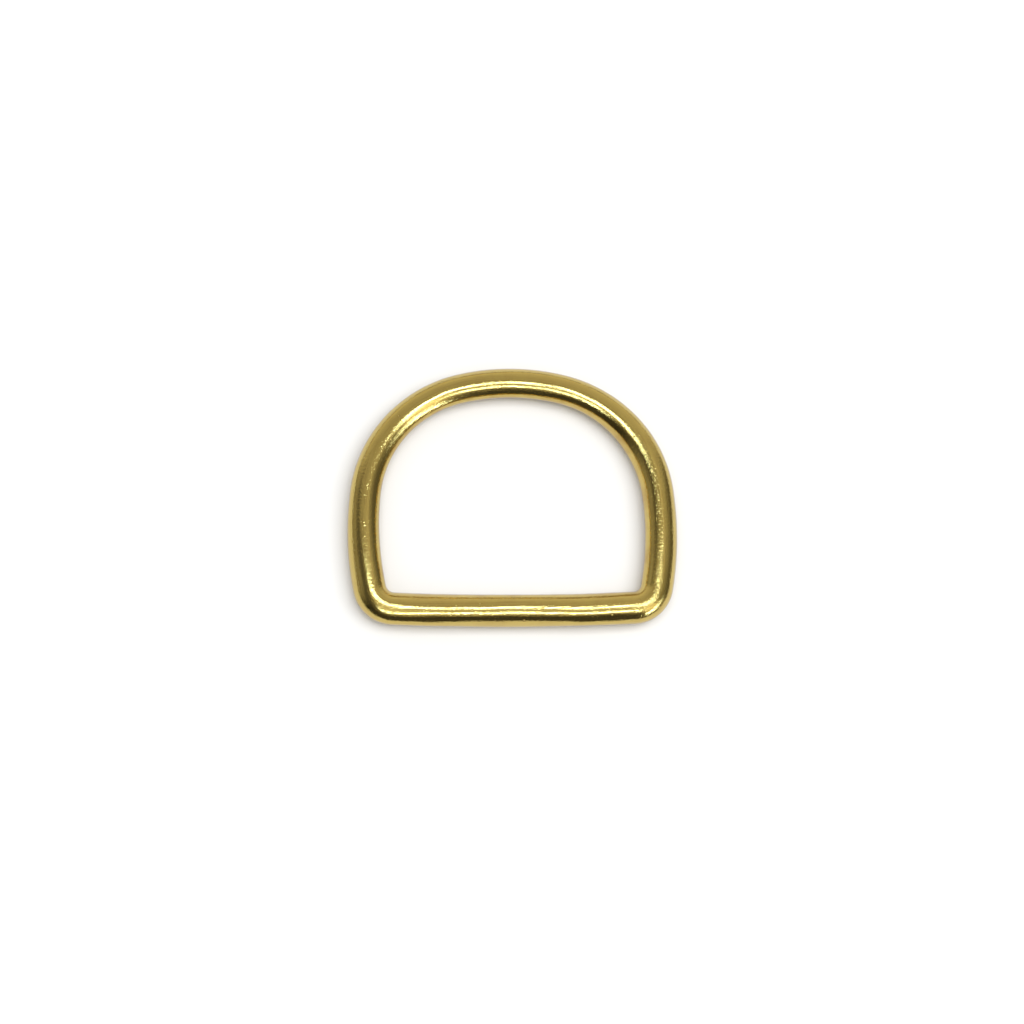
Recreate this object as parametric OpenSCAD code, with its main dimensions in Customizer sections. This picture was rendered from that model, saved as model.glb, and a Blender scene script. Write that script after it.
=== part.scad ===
// Cast D ring for a flat strap, lying flat. Millimetres, +Z up.
// X runs along the straight bar and Y from the bar to the crown of the arch.
// The origin is on the resting plane, under the middle of the outline's box.

/* [Strap] */
// Width of the flat strap that the bar carries
strap_w = 25.4; // [20:0.1:40]
// Room that the strap has between the two lower corners, both sides together
strap_play = 0.4; // [0.1:0.1:2]

/* [Opening] */
// Inside height, from the middle of the bar to the crown
inside_h = 20.9; // [19:0.1:25]
// Height of the widest place of the opening above the middle of the bar
belly_h = 6.9; // [5:0.1:8]
// How far each side swells outwards between its corner and the widest place
side_swell = 0.8; // [0.4:0.05:1.4]
// How far the middle of the bar bows away from the opening
bar_bow = 0.3; // [0.1:0.05:0.8]
// Inside radius of the crown of the arch
crown_r = 20.8; // [18:0.1:30]
// Inside radius of the two shoulders of the arch
shoulder_r = 11.4; // [8:0.1:12]
// Inside radius of the two lower corners
corner_r = 0.85; // [0.4:0.05:2.5]

/* [Thickness of the metal] */
// At the crown, where the casting is thinnest
crown_d = 3.12; // [2.5:0.02:5]
// At the shoulders
shoulder_d = 3.24; // [2.5:0.02:5]
// At the sides
side_d = 3.36; // [2.5:0.02:5]
// At the lower corners, where the casting is thickest
corner_d = 3.4; // [2.5:0.02:5]
// Along the bar
bar_d = 3.34; // [2.5:0.02:5]

/* [Hidden] */
$fa = 1;
$fs = 0.2;

// Each stretch runs on this far inside its thicker neighbour
lap = 0.05;

// The middle line of the metal, with y = 0 at the widest place of the opening
bar_half = (strap_w + strap_play) / 2;
widest_x = bar_half + side_swell + side_d / 2;
crown_y = inside_h - belly_h + crown_d / 2;
bar_y = -belly_h - bar_d / 2;
crown_line_r = crown_r + crown_d / 2;
shoulder_line_r = shoulder_r + shoulder_d / 2;
side_line_r = bow_radius(belly_h, side_swell) + side_d / 2;
corner_line_r = corner_r + corner_d / 2;
bar_line_r = bow_radius(bar_half, bar_bow) + bar_d / 2;

crown_centre = [0, crown_y - crown_line_r];
side_centre = [widest_x - side_line_r, 0];
bar_centre = [0, bar_y + bar_line_r];
shoulder_centre = nested_centre(crown_centre, crown_line_r, side_centre, side_line_r, shoulder_line_r);
corner_centre = nested_centre(side_centre, side_line_r, bar_centre, bar_line_r, corner_line_r);

// Bearings of the four places where one arc runs into the next
crown_end = bearing(crown_centre, shoulder_centre);
side_start = bearing(side_centre, shoulder_centre);
side_end = bearing(side_centre, corner_centre);
bar_end = bearing(bar_centre, corner_centre);

// The outline's box, for the origin
box_top = crown_y + crown_d / 2;
box_low = bar_y - bar_d / 2;
rest_z = max(crown_d, shoulder_d, side_d, corner_d, bar_d) / 2;

// Radius of an arc that rises by bow over half its chord
function bow_radius(half, bow) = (half * half + bow * bow) / (2 * bow);

// Centre, on the right, of a small arc that lies inside two large ones and touches both
function nested_centre(c1, r1, c2, r2, r) =
    let (
        apart = norm(c2 - c1),
        along = (pow(r1 - r, 2) - pow(r2 - r, 2) + apart * apart) / (2 * apart),
        aside = sqrt(pow(r1 - r, 2) - along * along),
        way = (c2 - c1) / apart,
        foot = c1 + way * along,
        across = [-way[1], way[0]] * aside
    )
    (foot + across)[0] > (foot - across)[0] ? foot + across : foot - across;

function bearing(from, to) = atan2(to[1] - from[1], to[0] - from[0]);

// Degrees that the lap takes on an arc of this radius
function lap_turn(r) = lap / r * 180 / PI;

// One stretch of the metal, a round section bent about a centre from one bearing to another
module stretch(centre, r, thickness, from, to) {
    translate([centre[0], centre[1], rest_z])
        rotate_extrude(angle = to - from + 2 * lap_turn(r), start = from - lap_turn(r))
            translate([r, 0]) circle(d = thickness);
}

module crown() {
    stretch(crown_centre, crown_line_r, crown_d, crown_end, 180 - crown_end);
}

module bar() {
    stretch(bar_centre, bar_line_r, bar_d, -180 - bar_end, bar_end);
}

module right_side() {
    stretch(shoulder_centre, shoulder_line_r, shoulder_d, side_start, crown_end);
    stretch(side_centre, side_line_r, side_d, side_end, side_start);
    stretch(corner_centre, corner_line_r, corner_d, bar_end, side_end);
}

module ring() {
    color("goldenrod")
        translate([0, -(box_top + box_low) / 2, 0]) {
            crown();
            bar();
            right_side();
            mirror([1, 0, 0]) right_side();
        }
}

ring();
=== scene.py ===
import bisect
import math

import bmesh
import bpy
from mathutils import Matrix, Vector, noise


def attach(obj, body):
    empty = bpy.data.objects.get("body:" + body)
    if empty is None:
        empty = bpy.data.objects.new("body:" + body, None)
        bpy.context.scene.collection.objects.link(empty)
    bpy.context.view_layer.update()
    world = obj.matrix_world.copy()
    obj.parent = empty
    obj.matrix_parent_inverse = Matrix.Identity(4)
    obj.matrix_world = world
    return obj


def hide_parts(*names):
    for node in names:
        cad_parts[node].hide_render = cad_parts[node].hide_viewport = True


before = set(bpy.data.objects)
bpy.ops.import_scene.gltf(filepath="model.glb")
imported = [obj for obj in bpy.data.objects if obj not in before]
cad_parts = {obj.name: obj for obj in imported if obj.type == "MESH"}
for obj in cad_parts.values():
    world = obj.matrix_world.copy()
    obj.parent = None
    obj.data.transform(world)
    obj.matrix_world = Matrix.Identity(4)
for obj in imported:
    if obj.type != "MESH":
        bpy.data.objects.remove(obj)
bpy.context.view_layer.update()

mm = 0.001
tiny = 0.001                 # what rounding may add, in millimetres or radians
scene = bpy.context.scene

# Sizes of the ring in millimetres, the same driving sizes as the solid has
ringSize = {
    "strapWidth": 25.4,
    "strapPlay": 0.4,
    "insideHeight": 20.9,
    "bellyHeight": 6.9,      # widest place of the opening, above the middle of the bar
    "sideSwell": 0.8,
    "barBow": 0.3,
    "crownRadius": 20.8,     # inside radii of the arcs
    "shoulderRadius": 11.4,
    "cornerRadius": 0.85,
    "crownThick": 3.12,      # thickness of the metal
    "sideThick": 3.36,
    "cornerThick": 3.4,
    "barThick": 3.34,
    "stepLength": 0.125,     # spacing of the sections along the ring
    "stepCuts": 5,           # sections made from each step of the spin
    "aroundCount": 96,       # points round one section
}

# What casting and hand polish leave on the shape, in millimetres and degrees of bearing
ringRelief = {
    "waveLength": 4.0,       # slow unevenness from the polishing wheel
    "waveDepth": 0.008,
    "rippleLength": 1.1,     # short dimples that break up the bright lines
    "rippleDepth": 0.003,
    "standBack": 2,          # times their depth that both lie inside the plain section
    "leftThinner": 0.09,     # the upper left is cast a little thinner
    "leftThin": (100, 200),
    # Where the round section leans: how much, from bearing, to bearing
    "slants": [
        (0.08, 0, 62),
        (0.04, -66, -36),
        (-0.055, -126, -54),
        (0.03, -143, -122),
        (0.10, -156, -131),
        (-0.09, 165, 235),
    ],
    # Where it is fuller: how much, degrees outwards from the top, from bearing, to bearing
    "bulges": [
        (0.07, 68, -70, -20),
        (0.07, 68, -165, -112),
        (0.075, -68, 45, 230),
        (0.05, -68, 30, 140),
        (-0.05, 12, -160, -134),
    ],
    "bulgeWidth": 32,        # degrees to either side of a bulge's middle
}


# Radius of an arc that rises by bow over half its chord
def bowRadius(half, bow):
    return (half * half + bow * bow) / (2 * bow)


# Centre, on the right, of a small arc that lies inside two large ones and touches both
def nestedCentre(c1, r1, c2, r2, r):
    apart = (c2 - c1).length
    along = ((r1 - r) ** 2 - (r2 - r) ** 2 + apart * apart) / (2 * apart)
    aside = math.sqrt((r1 - r) ** 2 - along * along)
    way = (c2 - c1) / apart
    foot = c1 + way * along
    across = Vector((-way.y, way.x)) * aside
    return foot + across if (foot + across).x > (foot - across).x else foot - across


def bearing(start, end):
    return math.atan2(end.y - start.y, end.x - start.x)


# The arcs of the middle line, clockwise from the crown, and the height of the outline's middle.
# An arc is its centre, its radius, two bearings and the thickness of the metal at both.
def middleLine(s):
    barHalf = (s["strapWidth"] + s["strapPlay"]) / 2
    widestX = barHalf + s["sideSwell"] + s["sideThick"] / 2
    crownY = s["insideHeight"] - s["bellyHeight"] + s["crownThick"] / 2
    barY = -s["bellyHeight"] - s["barThick"] / 2
    crownR = s["crownRadius"] + s["crownThick"] / 2
    shoulderR = s["shoulderRadius"] + (s["crownThick"] + s["sideThick"]) / 4
    sideR = bowRadius(s["bellyHeight"], s["sideSwell"]) + s["sideThick"] / 2
    cornerR = s["cornerRadius"] + s["cornerThick"] / 2
    barR = bowRadius(barHalf, s["barBow"]) + s["barThick"] / 2
    crown = Vector((0, crownY - crownR))
    side = Vector((widestX - sideR, 0))
    bar = Vector((0, barY + barR))
    shoulder = nestedCentre(crown, crownR, side, sideR, shoulderR)
    corner = nestedCentre(side, sideR, bar, barR, cornerR)
    crownEnd = bearing(crown, shoulder)
    sideStart = bearing(side, shoulder)
    sideEnd = bearing(side, corner)
    barEnd = bearing(bar, corner)
    right = [
        (crown, crownR, math.pi / 2, crownEnd, s["crownThick"], s["crownThick"]),
        (shoulder, shoulderR, crownEnd, sideStart, s["crownThick"], s["sideThick"]),
        (side, sideR, sideStart, sideEnd, s["sideThick"], s["cornerThick"]),
        (corner, cornerR, sideEnd, barEnd, s["cornerThick"], s["cornerThick"]),
        (bar, barR, barEnd, -math.pi / 2, s["cornerThick"], s["barThick"]),
    ]
    left = [
        (Vector((-c.x, c.y)), r, -math.pi - end, -math.pi - start, thickEnd, thickStart)
        for c, r, start, end, thickStart, thickEnd in reversed(right)
    ]
    middleY = (crownY + s["crownThick"] / 2 + barY - s["barThick"] / 2) / 2
    return right + left, middleY


def smooth(t):
    t = min(1.0, max(0.0, t))
    return t * t * (3 - 2 * t)


# 1 in the middle of a stretch, 0 at both its ends
def hump(value, low, high):
    t = (value - low) / (high - low)
    return math.sin(math.pi * t) ** 2 if 0 < t < 1 else 0.0


# The same for a bearing, which may be counted either way round
def stretchHump(degrees, low, high):
    return hump(degrees, low, high) + hump(degrees + 360, low, high)


# How far the metal stands proud of its plain round section, below 0 where it stands back
def reliefAt(spot, out, up, degrees, r):
    worn = (noise.noise(spot / r["waveLength"]) - r["standBack"]) * r["waveDepth"]
    worn += (noise.noise(spot / r["rippleLength"]) - r["standBack"]) * r["rippleDepth"]
    worn -= stretchHump(degrees, *r["leftThin"]) * r["leftThinner"]
    for lean, low, high in r["slants"]:
        worn += stretchHump(degrees, low, high) * lean * 2 * out * up
    section, width = math.degrees(math.atan2(out, up)), r["bulgeWidth"]
    for height, middle, low, high in r["bulges"]:
        fuller = height * hump(section, middle - width, middle + width)
        worn += fuller * stretchHump(degrees, low, high)
    return worn


# Spins a round section along the arcs. Each point notes how far along the ring it is, and its
# place in the section: out and up, in parts of the radius. Gives the lengths where arcs end.
def spinArcs(bm, arcs, s, around, along):
    top = Vector((0, arcs[0][0].y + arcs[0][1], 0))
    upright = Matrix.Translation(top) @ Matrix.Rotation(math.pi / 2, 4, "Y")
    bmesh.ops.create_circle(bm, segments=s["aroundCount"], radius=1, matrix=upright)
    for v in bm.verts:
        v[around] = (v.co.y - top.y, v.co.z, 0)
    section = bm.verts[:] + bm.edges[:]
    reached = [0.0]
    for centre, radius, start, end, *_ in arcs:
        before = set(bm.verts)
        length = (start - end) * radius
        spun = bmesh.ops.spin(
            bm, geom=section, cent=(centre.x, centre.y, 0), axis=(0, 0, 1), dvec=(0, 0, 0),
            angle=end - start, steps=max(2, round(length / (s["stepLength"] * s["stepCuts"]))),
            use_merge=False, use_normal_flip=False, use_duplicate=False,
        )
        section = spun["geom_last"]
        for v in set(bm.verts) - before:
            out = Vector((v.co.x - centre.x, v.co.y - centre.y))
            turned = (start - math.atan2(out.y, out.x) + tiny) % (2 * math.pi) - tiny
            v[along] = reached[-1] + turned * radius
            v[around] = (out.length - radius, v.co.z, 0)
        reached.append(reached[-1] + length)
    return reached


# Where a point goes, from its length along the ring and its place in the section
def wornSpot(length, out, up, arcs, reached, r):
    i = min(len(arcs), max(1, bisect.bisect_left(reached, length - tiny))) - 1
    centre, radius, start, end, thickStart, thickEnd = arcs[i]
    turned = (length - reached[i]) / radius
    thick = thickStart + (thickEnd - thickStart) * smooth(turned / (start - end))
    way = Vector((math.cos(start - turned), math.sin(start - turned), 0))
    facing = way * out + Vector((0, 0, up))
    middle = Vector((centre.x, centre.y, 0)) + way * radius
    spot = middle + facing * thick / 2
    degrees = (math.degrees(math.atan2(middle.y, middle.x)) + 180) % 360 - 180
    return spot + facing * reliefAt(spot, out, up, degrees, r)


# The coarse steps of the spin are divided before each point gets its place
def buildRing(s, r):
    arcs, middleY = middleLine(s)
    bm = bmesh.new()
    around = bm.verts.layers.float_vector.new("around")
    along = bm.verts.layers.float.new("along")
    reached = spinArcs(bm, arcs, s, around, along)
    runs = [e for e in bm.edges if abs(e.verts[0][along] - e.verts[1][along]) > s["stepLength"]]
    bmesh.ops.subdivide_edges(bm, edges=runs, cuts=s["stepCuts"] - 1, use_grid_fill=True)
    lift = Vector((0, -middleY, s["cornerThick"] / 2))
    for v in bm.verts:
        v.co = wornSpot(v[along], *v[around][:2], arcs, reached, r) + lift
    bmesh.ops.remove_doubles(bm, verts=bm.verts, dist=tiny)
    bmesh.ops.scale(bm, vec=(mm, mm, mm), verts=bm.verts)
    bmesh.ops.recalc_face_normals(bm, faces=bm.faces)
    for f in bm.faces:
        f.smooth = True
    mesh = bpy.data.meshes.new("castRing")
    bm.to_mesh(mesh)
    bm.free()
    ring = bpy.data.objects.new("castRing", mesh)
    scene.collection.objects.link(ring)
    return ring


# Makes nodes in one tree and joins them: a socket among the values is linked, a number is set
def nodeMaker(tree):
    def node(kind, *values, pick=0, **settings):
        n = tree.nodes.new(kind)
        for key, value in settings.items():
            setattr(n, key, value)
        for socket, value in zip(n.inputs, values):
            if isinstance(value, bpy.types.NodeSocket):
                tree.links.new(value, socket)
            elif value is not None:
                socket.default_value = value
        return n.outputs[pick] if n.outputs else n

    def calc(kind, *values):
        return node("ShaderNodeMath", *values, operation=kind)

    # Goes softly from start to end while the value goes from low to high
    def step(value, low, high, start=0.0, end=1.0):
        limits = (low, high, start, end)
        return node("ShaderNodeMapRange", value, *limits, interpolation_type="SMOOTHSTEP")

    # 1 between two limits with soft edges, 0 outside them
    def span(value, low, high, edge):
        begun = step(value, low - edge, low + edge)
        return calc("MULTIPLY", begun, step(value, high - edge, high + edge, 1.0, 0.0))

    return node, calc, step, span


# Brass, polished by hand: colours in linear light, sizes and depths in millimetres
brassLook = {
    "brass": (0.85, 0.61, 0.145),
    "tarnish": (0.50, 0.27, 0.06),   # thin brown film in the hollows and on the inner wall
    "film": 0.12,            # how strong the film is everywhere
    "filmInside": 0.35,      # and how much stronger on the inner wall
    "filmInLines": 0.26,     # in the polishing lines
    "filmInPits": 0.9,
    "filmSize": 1.6,
    "filmRange": (0.35, 0.75),       # noise at which it begins and is full
    "lineRange": (0.48, 0.72),       # the same for the film in the lines
    "innerWall": (-0.98, -0.6),      # outwards, in parts of the section's radius
    "sectionRadius": 1.66,
    "detail": 3.0,           # octaves of the noise
    "roughness": 0.075,
    "lacquer": 0.5,
    "worn": 0.10,            # roughness that is added where the polish is dull
    "pitRough": 0.4,
    "dimpleSize": 0.21,      # small hollows that the polish has rounded
    "dimpleDepth": 0.0115,
    "dentSpacing": 0.30,     # small marks that glint in the bright lines
    "dentSize": 0.11,
    "dentDepth": 0.006,
    "dentShare": 0.45,
    "sides": (10.0, 15.0),   # how far out, left and right, the sides begin and are full
    "dullRight": 0.68,       # how much deeper dimples and dents are there, with less polish
    "dullLeft": 0.58,
    "roughRight": 0.35,      # how much rougher the right side is, under its lacquer
    "grainSize": 0.08,       # fine lines of the polishing wheel, along the ring
    "grainLength": 2.0,
    "grainDepth": 0.008,
    "pitSpacing": 0.9,       # pin holes of the casting
    "pitSize": 0.14,
    "pitDepth": 0.02,
    "pitShare": 0.3,
}


def brassMaterial(look):
    mat = bpy.data.materials.new("polishedBrass")
    mat.use_nodes = True
    tree = mat.node_tree
    node, calc, step, _ = nodeMaker(tree)

    def scaled(vector, factor):
        return node("ShaderNodeVectorMath", vector, None, None, factor, operation="SCALE")

    spot = scaled(node("ShaderNodeTexCoord", pick="Object"), 1 / mm)
    around = node("ShaderNodeAttribute", attribute_name="around", pick="Vector")
    out = node("ShaderNodeSeparateXYZ", around)
    across = node("ShaderNodeSeparateXYZ", spot)

    def cloud(size, vector=spot):
        return node("ShaderNodeTexNoise", vector, None, 1 / size, look["detail"])

    # Round hollows, one in some of the cells: 1 in their middle, 0 outside them
    def hollows(spacing, size, share):
        near = node("ShaderNodeTexVoronoi", spot, None, 1 / spacing)
        drawn = node("ShaderNodeSeparateColor", near.node.outputs["Color"])
        bowl = step(near, 0.0, size / spacing, 1.0, 0.0)
        return calc("MULTIPLY", bowl, calc("LESS_THAN", drawn, share))

    fine = scaled(around, look["sectionRadius"] / look["grainSize"])
    slow = scaled(spot, 1 / look["grainLength"])
    grain = cloud(1.0, node("ShaderNodeVectorMath", fine, slow, operation="ADD"))
    dimples = cloud(look["dimpleSize"])
    film = step(cloud(look["filmSize"]), *look["filmRange"])
    dents = hollows(look["dentSpacing"], look["dentSize"], look["dentShare"])
    pits = hollows(look["pitSpacing"], look["pitSize"], look["pitShare"])

    inner = step(out, *look["innerWall"], 1.0, 0.0)
    brown = calc("ADD", calc("MULTIPLY", inner, look["filmInside"]), look["film"])
    brown = calc("MULTIPLY", brown, film)
    lines = step(grain, *look["lineRange"])
    brown = calc("ADD", brown, calc("MULTIPLY", lines, look["filmInLines"]))
    brown = calc("MAXIMUM", brown, calc("MULTIPLY", pits, look["filmInPits"]))
    mix = node("ShaderNodeMix", brown, data_type="RGBA", pick="Result").node
    mix.inputs["A"].default_value = (*look["brass"], 1)
    mix.inputs["B"].default_value = (*look["tarnish"], 1)

    begin, full = look["sides"]
    dimples = calc("MULTIPLY", dimples, look["dimpleDepth"])
    uneven = calc("SUBTRACT", dimples, calc("MULTIPLY", dents, look["dentDepth"]))
    uneven = calc("MULTIPLY", uneven, step(across, begin, full, 1.0, 1 + look["dullRight"]))
    uneven = calc("MULTIPLY", uneven, step(across, -full, -begin, 1 + look["dullLeft"], 1.0))
    height = calc("ADD", uneven, calc("MULTIPLY", grain, look["grainDepth"]))
    height = calc("SUBTRACT", height, calc("MULTIPLY", pits, look["pitDepth"]))
    bump = tree.nodes.new("ShaderNodeBump")
    bump.inputs["Distance"].default_value = mm
    tree.links.new(height, bump.inputs["Height"])

    rough = calc("MULTIPLY", calc("MULTIPLY", film, grain), look["worn"])
    rough = calc("ADD", look["roughness"], rough)
    rougher = step(across, begin, full, 1.0, 1 + look["roughRight"])
    rough = calc("MULTIPLY", rough, rougher)
    rough = calc("ADD", rough, calc("MULTIPLY", pits, look["pitRough"]))

    metal = tree.nodes["Principled BSDF"]
    metal.inputs["Metallic"].default_value = 1
    metal.inputs["Coat Weight"].default_value = look["lacquer"]
    metal.inputs["Coat Roughness"].default_value = look["roughness"]
    tree.links.new(mix.outputs["Result"], metal.inputs["Base Color"])
    tree.links.new(rough, metal.inputs["Roughness"])
    tree.links.new(bump.outputs["Normal"], metal.inputs["Normal"])
    tree.links.new(bump.outputs["Normal"], metal.inputs["Coat Normal"])
    return mat


ring = buildRing(ringSize, ringRelief)
ring.data.materials.append(brassMaterial(brassLook))
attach(ring, "root")
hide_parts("ring")
print("ring:", len(ring.data.vertices), "points,", len(ring.data.polygons), "faces")

# Floor, in metres and linear light. The brass mirrors it a little darker and bluer than the
# camera sees it: a painted shade in the floor's reflection, picked by the kind of ray.
floorLook = {
    "size": 3.0,
    "seen": (0.80, 0.80, 0.80),
    "mirrored": (0.54, 0.565, 0.65),
}


def buildFloor(v):
    bm = bmesh.new()
    bmesh.ops.create_grid(bm, x_segments=1, y_segments=1, size=v["size"] / 2)
    mesh = bpy.data.meshes.new("floor")
    bm.to_mesh(mesh)
    bm.free()
    floor = bpy.data.objects.new("floor", mesh)
    scene.collection.objects.link(floor)
    mat = bpy.data.materials.new("whitePaper")
    mat.use_nodes = True
    mat.node_tree.nodes.clear()
    node = nodeMaker(mat.node_tree)[0]
    # Rays mirrored by the brass see the floor with the painted shade; all other rays see its
    # plain white.
    mirrored = node("ShaderNodeLightPath", pick="Is Glossy Ray")
    white = node("ShaderNodeMix", mirrored, data_type="RGBA", pick="Result")
    white.node.inputs["A"].default_value = (*v["seen"], 1)
    white.node.inputs["B"].default_value = (*v["mirrored"], 1)
    node("ShaderNodeOutputMaterial", node("ShaderNodeBsdfDiffuse", white))
    mesh.materials.append(mat)


buildFloor(floorLook)
print("floor laid")

# Camera, in millimetres and degrees
cameraPlace = {
    "elevation": 76.5,
    "lean": 19.0,            # how far to the left of the bar's front it stands
    "roll": -1.053,
    "distance": 273.45,
    "target": (0.095, -1.247),
    "lens": 92.6,
    "sensor": 36,
    "nearest": 10,           # what it sees begins and ends at these distances
    "farthest": 20000,
}


def placeCamera(v):
    data = bpy.data.cameras.new("camera")
    data.lens = v["lens"]
    data.sensor_width = v["sensor"]
    data.clip_start = v["nearest"] * mm
    data.clip_end = v["farthest"] * mm
    cam = bpy.data.objects.new("camera", data)
    e, a, r = (math.radians(v[k]) for k in ("elevation", "lean", "roll"))
    back = Vector((-math.sin(a) * math.cos(e), -math.cos(a) * math.cos(e), math.sin(e)))
    right = Vector((0, 1, 0)).cross(back).normalized()
    up = back.cross(right)
    rolled = right * math.cos(r) + up * math.sin(r)
    up = up * math.cos(r) - right * math.sin(r)
    turn = Matrix((rolled, up, back)).transposed().to_4x4()
    spot = Vector((*v["target"], 0)) + back * v["distance"]
    cam.matrix_world = Matrix.Translation(spot * mm) @ turn
    scene.collection.objects.link(cam)
    scene.camera = cam


placeCamera(cameraPlace)
print("camera placed")

# Boxes over the ring: middle, size and turn in millimetres and degrees, and brightness.
# Only the brass mirrors the flashes and the paper sheets that they light. Only the floor
# feels the other two, so that the ring's soft shadow falls to the left.
flashColour = (1.0, 1.32, 2.0)       # a little cooler than the room
paperColour = (1, 1, 1)
flashes = {
    "topBox": {"spot": (-6, -2, 92), "size": (59, 10.5), "turn": 3, "bright": 5.0},
    "frontBox": {"spot": (-6, -85.3, 130), "size": (130, 17), "turn": -5, "bright": 5.0},
    "rightBox": {"spot": (48, -17, 130), "size": (62, 17), "turn": -38, "bright": 2.4},
}
sheets = {
    "rightSheet": {"spot": (32, 26, 92), "size": (26, 22), "turn": 0, "bright": 0.12},
    "leftSheet": {"spot": (-40, -53, 130), "size": (52, 90), "turn": 19, "bright": 0.34},
    "wideSheet": {"spot": (17, -48, 92), "size": (77, 116), "turn": 0, "bright": 0.27},
}
floorLights = {
    "ceiling": {"spot": (0, 0, 700), "size": (400, 400), "turn": 0, "bright": 4.4},
    "sideLight": {"spot": (350, 0, 606), "size": (400, 400), "turn": 0, "bright": 3.9},
}


def addBoxes(boxes, colour, mirrored):
    for name, v in boxes.items():
        light = bpy.data.lights.new(name, "AREA")
        light.shape = "RECTANGLE"
        light.size, light.size_y = (n * mm for n in v["size"])
        light.color = colour
        light.energy = v["bright"] * light.size * light.size_y * math.pi
        box = bpy.data.objects.new(name, light)
        box.location = Vector(v["spot"]) * mm
        box.rotation_euler = (0, 0, math.radians(v["turn"]))
        box.visible_camera = False
        box.visible_glossy = mirrored
        box.visible_diffuse = not mirrored
        scene.collection.objects.link(box)


addBoxes(flashes, flashColour, True)
addBoxes(sheets, paperColour, True)
addBoxes(floorLights, paperColour, False)

# Brightness of the room that the brass mirrors, by bearing and height in degrees. Bearing 0
# is +X and 90 is +Y. A band is its limits and half the width of its soft edges, a fade the
# heights at which something starts to go and is gone.
leftWall = [(149, 200, 12), (-200, -135, 12)]
roomLook = {
    "walls": 0.30,
    "seen": 0.66,            # what the camera and the floor see in their place
    "backWall": 0.16,        # added on the side of the crown
    "lowWall": 0.18,         # added near the floor
    "lowWallFade": (0, 45),
    # Light high up behind and to the right
    "backGlow": {"bright": 0.07, "bearings": [(20, 80, 20)], "heights": (30, 85, 10)},
    # Dark places: the share of the light that each takes away
    "shades": {
        "front": {"share": 0.88, "bearings": [(-162, -62, 18)], "fade": (30, 50)},
        "right": {"share": 0.78, "bearings": [(-18, 32, 12)], "fade": (10, 65)},
        "corner": {"share": 0.6, "bearings": [(-66, -12, 8)], "fade": (8, 18)},
        "left": {"share": 0.65, "bearings": leftWall, "heights": (36, 66, 9)},
        "lowLeft": {"share": 0.32, "bearings": leftWall, "fade": (35, 60)},
        "leftSkirting": {"share": 0.35, "bearings": leftWall, "heights": (6, 16, 4)},
        "seam": {"share": 0.7, "bearings": [(30, 165, 8)], "heights": (-3, 5, 2)},
    },
    # A slanting lamp to the right of the front, and the glow above it
    "lamp": {
        "bright": 10.0,
        "begins": (-63, -54),
        "ends": (-50, -10),
        "height": 32.0,      # of its middle line at bearing 0
        "slant": 0.23,       # how much higher this is with each degree of bearing
        "band": (-1.7, 2.0, 1.1),    # above its middle line
        "glow": 0.8,
        "glowBearings": (-56, -28, 6),
        "glowBand": (6, 40, 5),
    },
}


def buildRoom(v):
    world = bpy.data.worlds.new("studio")
    scene.world = world
    world.use_nodes = True
    tree = world.node_tree
    tree.nodes.clear()
    node, calc, step, span = nodeMaker(tree)
    way = node("ShaderNodeTexCoord", pick="Generated")
    x, y, z = node("ShaderNodeSeparateXYZ", way).node.outputs
    turn = calc("DEGREES", calc("ARCTAN2", y, x))
    rise = calc("DEGREES", calc("ARCSINE", z))

    # 1 in a place of the room, 0 outside it, times an amount
    def inPlace(place, amount):
        across = span(turn, *place["bearings"][0])
        for band in place["bearings"][1:]:
            across = calc("MAXIMUM", across, span(turn, *band))
        if "fade" in place:
            upwards = step(rise, *place["fade"], 1.0, 0.0)
        else:
            upwards = span(rise, *place["heights"])
        return calc("MULTIPLY", calc("MULTIPLY", across, upwards), amount)

    back = calc("MULTIPLY", calc("MAXIMUM", y, 0.0), v["backWall"])
    low = calc("MULTIPLY", step(rise, *v["lowWallFade"], 1.0, 0.0), v["lowWall"])
    glow = inPlace(v["backGlow"], v["backGlow"]["bright"])
    walls = calc("ADD", calc("ADD", v["walls"], calc("ADD", glow, back)), low)
    for place in v["shades"].values():
        shade = inPlace(place, place["share"])
        walls = calc("MULTIPLY", walls, calc("SUBTRACT", 1.0, shade))

    p = v["lamp"]
    middle = calc("ADD", p["height"], calc("MULTIPLY", turn, p["slant"]))
    above = calc("SUBTRACT", rise, middle)
    lamp = calc("MULTIPLY", step(turn, *p["begins"]), step(turn, *p["ends"], 1.0, 0.0))
    lamp = calc("MULTIPLY", calc("MULTIPLY", lamp, span(above, *p["band"])), p["bright"])
    glow = calc("MULTIPLY", span(turn, *p["glowBearings"]), span(above, *p["glowBand"]))
    walls = calc("ADD", walls, calc("MULTIPLY", glow, p["glow"]))

    path = node("ShaderNodeLightPath", pick="Is Glossy Ray")
    direct = calc("LESS_THAN", path.node.outputs["Diffuse Depth"], 0.5)
    mirrored = calc("MULTIPLY", path, direct)
    bright = node("ShaderNodeMix", mirrored, None, v["seen"], walls, data_type="FLOAT")
    room = node("ShaderNodeBackground", (1, 1, 1, 1), bright)
    flash = node("ShaderNodeBackground", (*flashColour, 1), calc("MULTIPLY", mirrored, lamp))
    node("ShaderNodeOutputWorld", node("ShaderNodeAddShader", room, flash))


buildRoom(roomLook)
scene.view_settings.view_transform = "Standard"
print("lights and room set")
